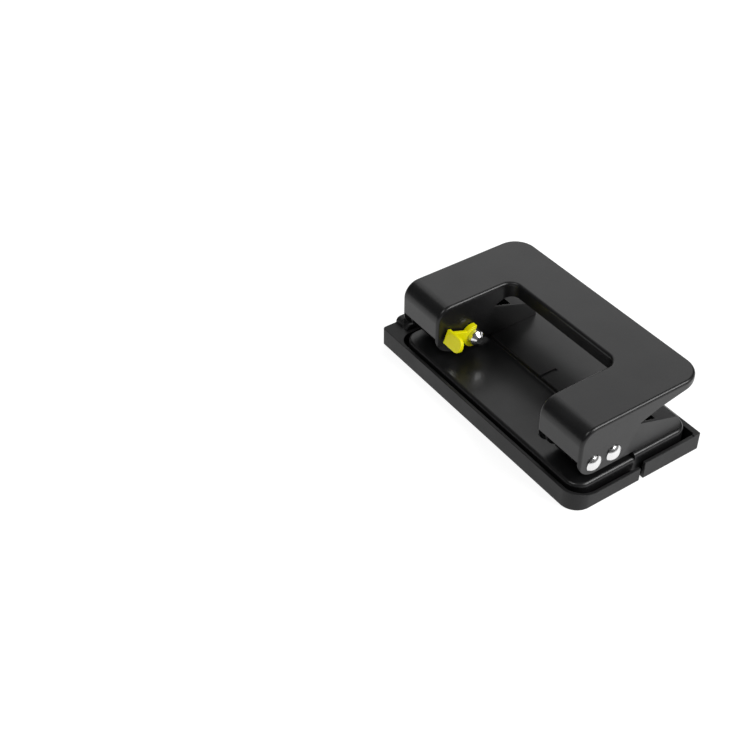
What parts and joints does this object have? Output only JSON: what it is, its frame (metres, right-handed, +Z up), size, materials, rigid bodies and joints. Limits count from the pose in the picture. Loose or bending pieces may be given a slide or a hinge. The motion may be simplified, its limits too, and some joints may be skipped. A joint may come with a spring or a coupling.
{
  "type": "two-hole paper punch",
  "caption": "Desk hole punch of pressed steel: a U-shaped handle drives two punches through a base plate over a chip tray, with a lock lever.",
  "frame": {"origin": "midway between the two punch axes, on the surface that the tray stands on", "axes": "+X along the row of holes towards the end without the lock, +Y from the open front to the back of the handle, +Z up"},
  "size_m": [0.1149, 0.0597, 0.0348],
  "materials": {
    "black_paint": "gloss black powder coat",
    "tray_plastic": "satin moulded black plastic",
    "lever_plastic": "moulded yellow plastic",
    "bright_steel": "bright plated steel",
    "tool_steel": "oiled tool steel"
  },
  "bodies": {
    "base": {"base_plate": "black_paint", "left_bracket": "black_paint", "right_bracket": "black_paint", "left_guide": "black_paint", "right_guide": "black_paint", "left_die": "tool_steel", "right_die": "tool_steel", "left_foot_rivets": "bright_steel", "right_foot_rivets": "bright_steel"},
    "tray": {"chip_tray": "tray_plastic"},
    "handle": {"handle": "black_paint", "left_pivot_rivet": "bright_steel", "right_pivot_rivet": "bright_steel", "right_drive_pin": "bright_steel"},
    "lock": {"lock_pin": "bright_steel", "lock_lever": "lever_plastic"},
    "left_punch_set": {"left_punch": "tool_steel", "left_punch_ring": "tool_steel", "left_spring": "tool_steel"},
    "right_punch_set": {"right_punch": "tool_steel", "right_punch_ring": "tool_steel", "right_spring": "tool_steel"}
  },
  "joints": [
    {"name": "handle_hinge", "type": "hinge", "parent": "base", "child": "handle", "pos_m": [0, -0.00861, 0.0183], "axis": [1, 0, 0], "range_deg": [0, 24]},
    {"name": "tray_pull", "type": "slide", "parent": "base", "child": "tray", "axis": [0, 0, -1], "range_m": [0, 0.015]},
    {"name": "lock_turn", "type": "hinge", "parent": "handle", "child": "lock", "pos_m": [-0.027, 0.00039, 0.0183], "axis": [1, 0, 0], "range_deg": [-70, 0]},
    {"name": "left_punch_slide", "type": "slide", "parent": "base", "child": "left_punch_set", "axis": [0, 0, 1], "range_m": [0, 0.0037], "deforming": ["left_spring"]},
    {"name": "right_punch_slide", "type": "slide", "parent": "base", "child": "right_punch_set", "axis": [0, 0, 1], "range_m": [0, 0.0037], "deforming": ["right_spring"]}
  ],
  "couplings": [
    {"joint": "left_punch_slide", "follows": "handle_hinge", "m_per_rad": 0.00874},
    {"joint": "right_punch_slide", "follows": "handle_hinge", "m_per_rad": 0.00874}
  ]
}
